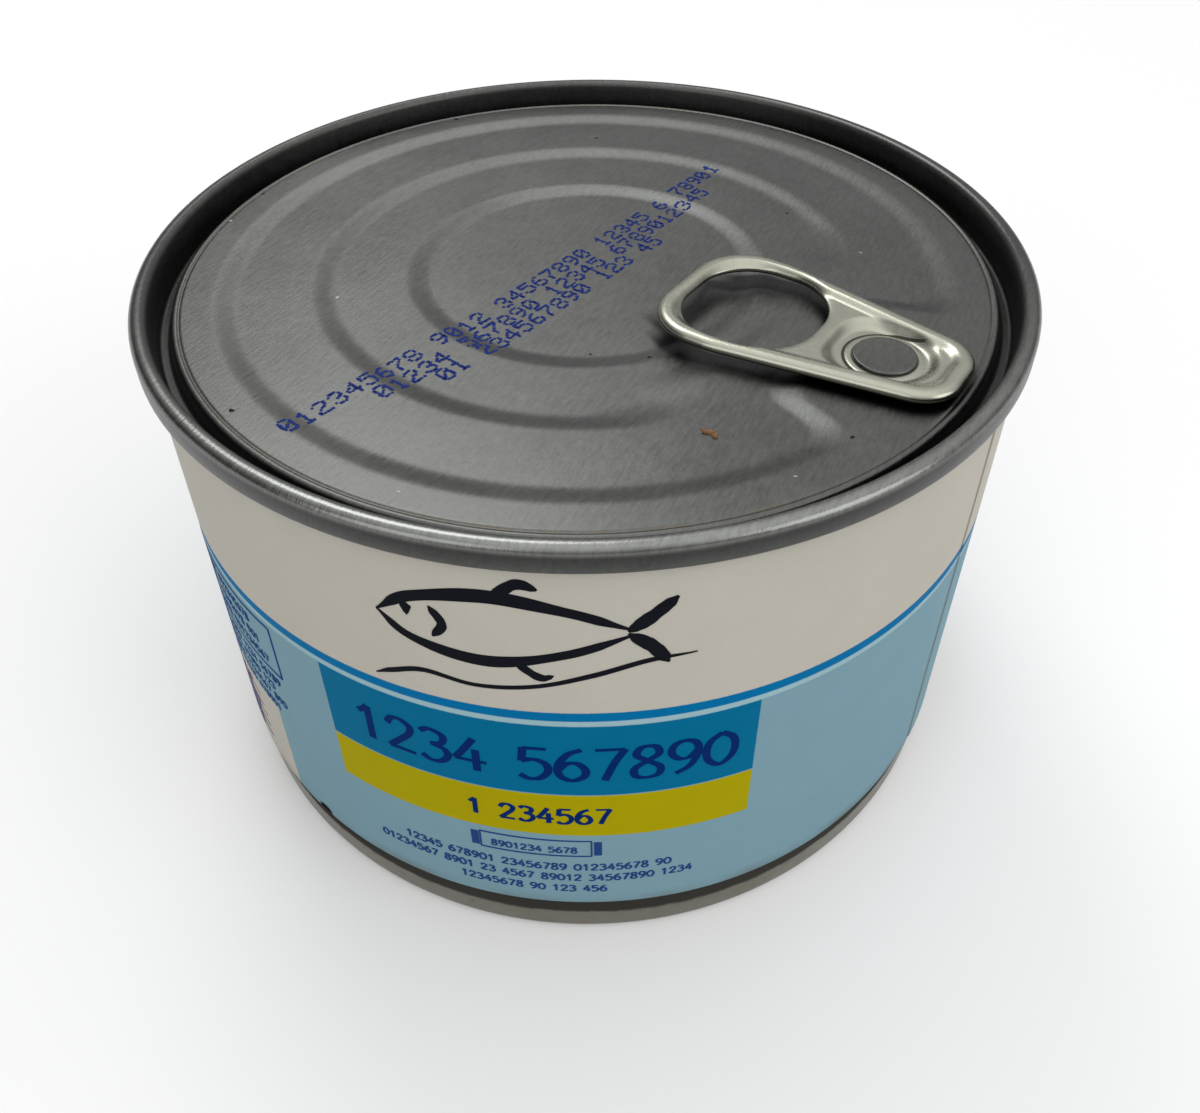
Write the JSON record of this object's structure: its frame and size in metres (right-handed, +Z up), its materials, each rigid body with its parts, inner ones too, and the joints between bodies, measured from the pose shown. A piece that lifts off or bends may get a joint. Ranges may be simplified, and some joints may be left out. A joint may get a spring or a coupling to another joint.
{
  "type": "tuna can",
  "caption": "Low round food can with a ring-pull lid, a paper label and a rounded foot, shut and full.",
  "frame": {"origin": "centre of the foot, on the surface that the can stands on", "axes": "+Z up through the lid; the label's front faces -Y"},
  "size_m": [0.1032, 0.1032, 0.0652],
  "materials": {
    "body_metal": "satin tinplate",
    "lid_metal": "satin grey tinplate with fine grain",
    "tab_metal": "bright satin tinplate",
    "label_paper": "half gloss coated paper with printed fields of colour"
  },
  "bodies": {
    "root": {"can_body": "body_metal", "lid": "lid_metal", "pull_tab": "tab_metal", "label": "label_paper"}
  },
  "joints": []
}
